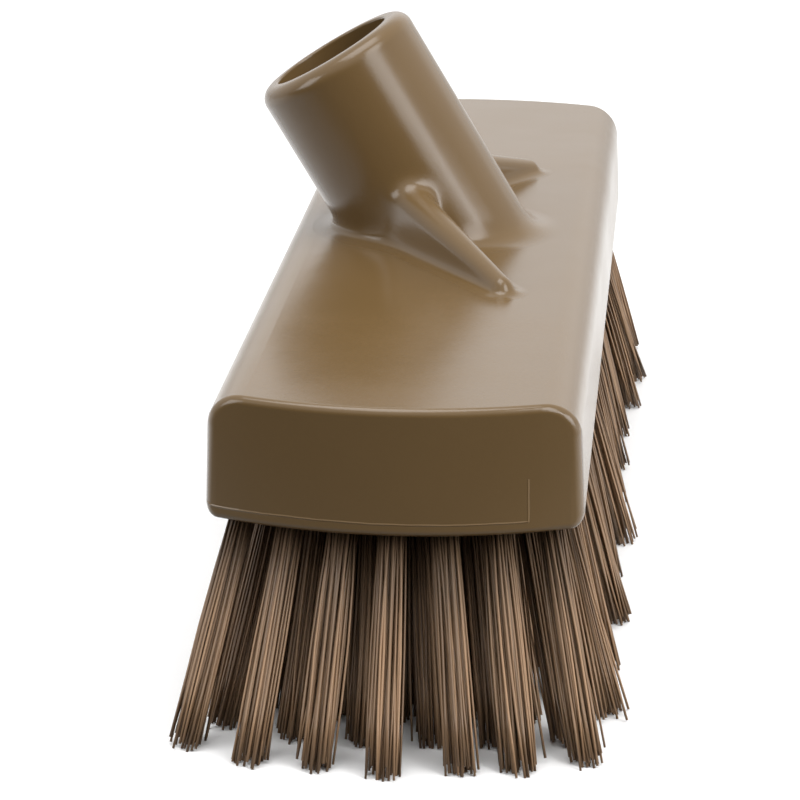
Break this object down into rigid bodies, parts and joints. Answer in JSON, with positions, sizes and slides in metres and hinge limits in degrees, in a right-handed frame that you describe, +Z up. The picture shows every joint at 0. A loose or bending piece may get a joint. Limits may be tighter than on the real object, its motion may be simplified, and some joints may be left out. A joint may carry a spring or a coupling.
{
  "type": "floor scrub brush head",
  "caption": "Long floor scrub brush head with a leaning handle socket, two gusset ribs, staggered tufts of stiff filament that fan outwards, and the staples that hold them.",
  "frame": {"origin": "on the floor under the middle of the block, in the plane of the trimmed filament tips", "axes": "+X across the brush, away from the side that the socket leans to; +Y along its length; +Z up"},
  "size_m": [0.1024, 0.3378, 0.1365],
  "materials": {
    "block": "satin moulded polypropylene",
    "socket": "satin moulded polypropylene",
    "bristle": "extruded polyester filament",
    "staple": "drawn stainless wire"
  },
  "bodies": {
    "root": {"block": "block", "handle_socket": "socket", "front_rib": "socket", "rear_rib": "socket", "tuft_row_01": "bristle", "tuft_row_02": "bristle", "tuft_row_03": "bristle", "tuft_row_04": "bristle", "tuft_row_05": "bristle", "tuft_row_06": "bristle", "tuft_row_07": "bristle", "tuft_row_08": "bristle", "tuft_row_09": "bristle", "tuft_row_10": "bristle", "tuft_row_11": "bristle", "tuft_row_12": "bristle", "tuft_row_13": "bristle", "tuft_row_14": "bristle", "tuft_row_15": "bristle", "tuft_row_16": "bristle", "tuft_row_17": "bristle", "tuft_row_18": "bristle", "tuft_row_19": "bristle", "tuft_row_20": "bristle", "tuft_row_21": "bristle", "tuft_row_22": "bristle", "tuft_row_23": "bristle", "staple_row_01": "staple", "staple_row_02": "staple", "staple_row_03": "staple", "staple_row_04": "staple", "staple_row_05": "staple", "staple_row_06": "staple", "staple_row_07": "staple", "staple_row_08": "staple", "staple_row_09": "staple", "staple_row_10": "staple", "staple_row_11": "staple", "staple_row_12": "staple", "staple_row_13": "staple", "staple_row_14": "staple", "staple_row_15": "staple", "staple_row_16": "staple", "staple_row_17": "staple", "staple_row_18": "staple", "staple_row_19": "staple", "staple_row_20": "staple", "staple_row_21": "staple", "staple_row_22": "staple", "staple_row_23": "staple"}
  },
  "joints": []
}
